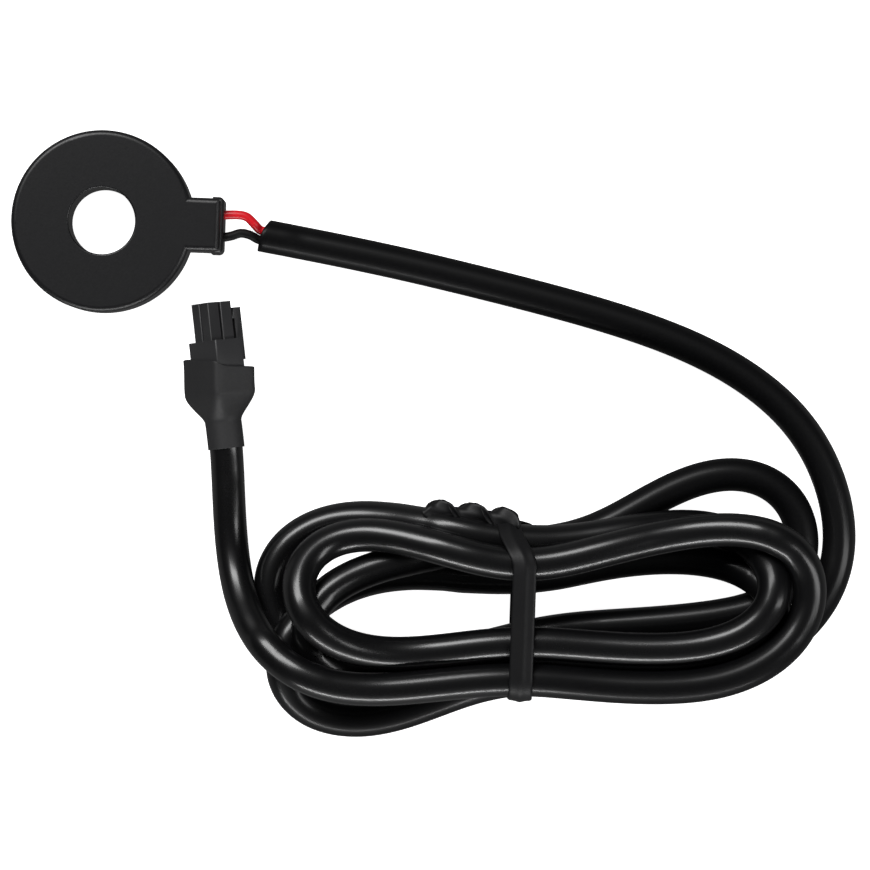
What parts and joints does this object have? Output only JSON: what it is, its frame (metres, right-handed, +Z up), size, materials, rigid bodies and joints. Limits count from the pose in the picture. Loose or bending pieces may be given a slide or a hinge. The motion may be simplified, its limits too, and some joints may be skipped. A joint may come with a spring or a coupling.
{
  "type": "current transformer",
  "caption": "Flat ring current transformer with a round bore and a side lead outlet; its wires enter a round black cable that lies in a tied hank and ends in a small square plug.",
  "frame": {"origin": "on the bore's axis, at the ring's resting face", "axes": "+Z up along the bore's axis; +X from the bore through the lead outlet; the lead lies on the same surface, towards +X and -Y"},
  "size_m": [0.1415, 0.099, 0.0166],
  "materials": {
    "case": "fine matt moulded black",
    "cover": "fine matt moulded black",
    "core_steel": "wound strip",
    "wrap": "insulating paper",
    "winding_wire": "enamelled copper",
    "winding_tape": "polyester tape",
    "potting": "cast resin",
    "sleeve_red": "shrink sleeve",
    "sleeve_black": "shrink sleeve",
    "wire_red": "smooth insulation",
    "wire_black": "smooth insulation",
    "jacket": "glossy flexible jacket",
    "tie": "soft satin plastic over wire",
    "boot": "matt shrink tube",
    "plug": "fine matt moulded black",
    "contact": "tinned brass"
  },
  "bodies": {
    "root": {"case_shell": "case", "case_cover": "cover", "core": "core_steel", "core_wrap": "wrap", "winding": "winding_wire", "winding_tape": "winding_tape", "potting": "potting", "splice_sleeve_red": "sleeve_red", "splice_sleeve_black": "sleeve_black", "lead_red": "wire_red", "lead_black": "wire_black", "cable_lead": "jacket", "cable_hank": "jacket", "cable_tail": "jacket", "twist_tie": "tie", "plug_housing": "plug", "terminal_red": "contact", "terminal_black": "contact", "plug_wire_red": "wire_red", "plug_wire_black": "wire_black", "plug_boot": "boot"}
  },
  "joints": []
}
